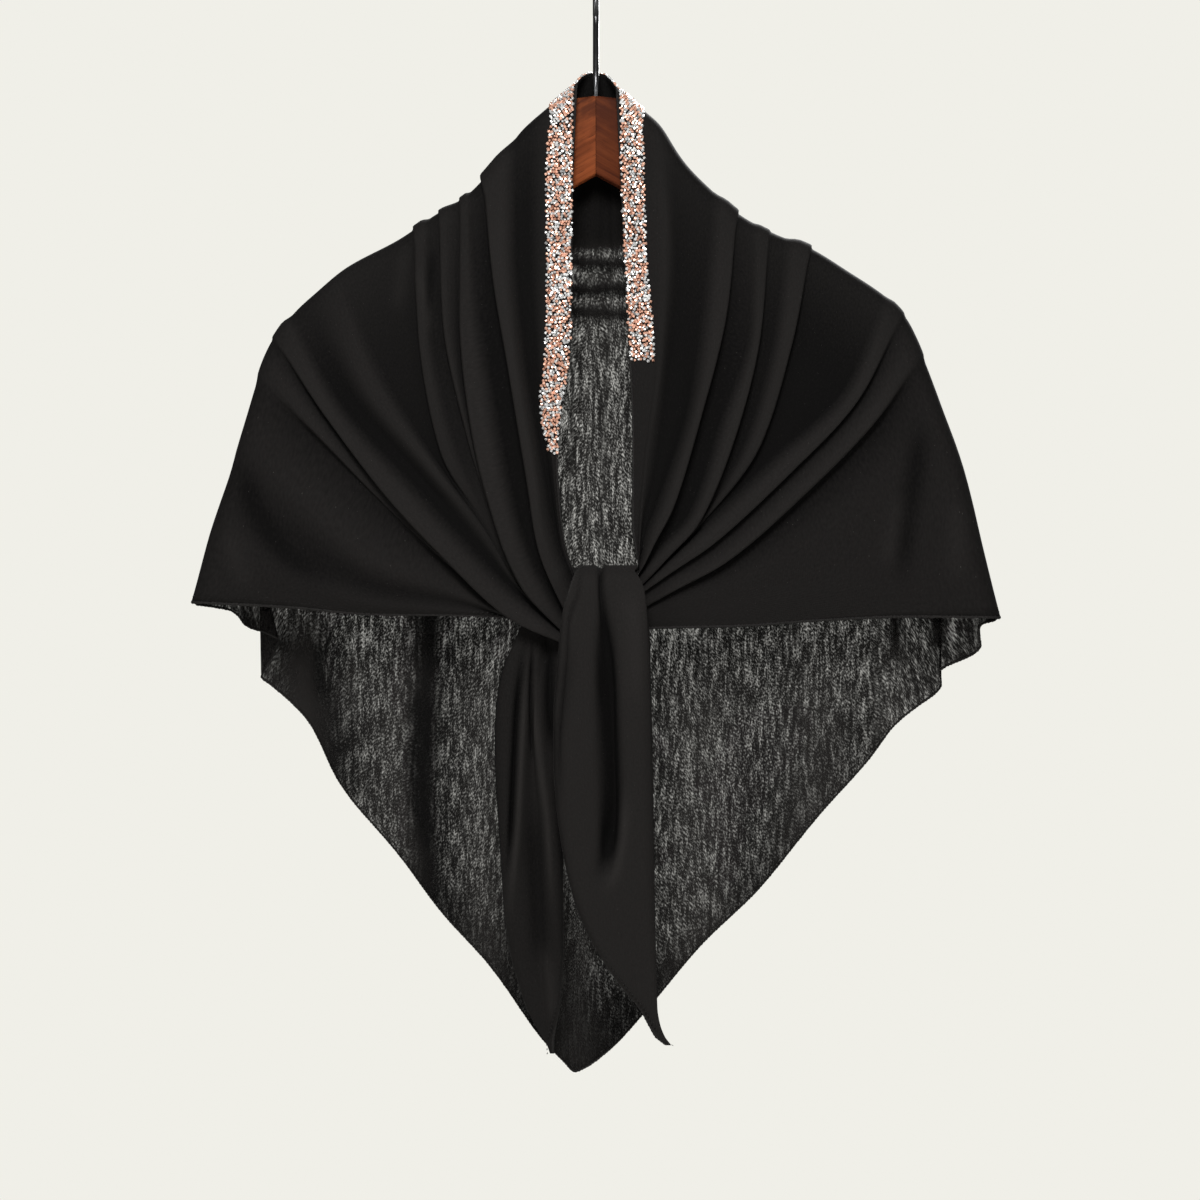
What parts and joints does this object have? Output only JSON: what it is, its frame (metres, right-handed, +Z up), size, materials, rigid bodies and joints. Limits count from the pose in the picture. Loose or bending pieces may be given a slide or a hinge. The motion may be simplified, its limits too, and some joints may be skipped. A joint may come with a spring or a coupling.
{
  "type": "headscarf on a wooden hanger",
  "caption": "Triangular jersey headscarf with a crystal-trimmed neck edge, tied in front, its point hanging behind, shown on a wooden hanger with a wire hook.",
  "frame": {"origin": "inside top of the hook's bend, where a rail carries it", "axes": "+X to the right of someone facing the scarf, +Y towards its back, +Z up"},
  "size_m": [0.5923, 0.1046, 0.8057],
  "materials": {
    "jersey": "fine matt knit, sheer where a single layer has light behind it",
    "crystal": "small faceted stones, clear and rose, sewn close",
    "wood": "dark red-brown stain, satin varnish",
    "metal": "dark plated wire"
  },
  "bodies": {
    "root": {"front_left": "jersey", "front_right": "jersey", "back_panel": "jersey", "knot": "jersey", "tail_front": "jersey", "tail_left": "jersey", "band_left": "crystal", "band_neck": "crystal", "band_right": "crystal", "hanger_arm_left": "wood", "hanger_arm_right": "wood", "hanger_hook": "metal"}
  },
  "joints": []
}
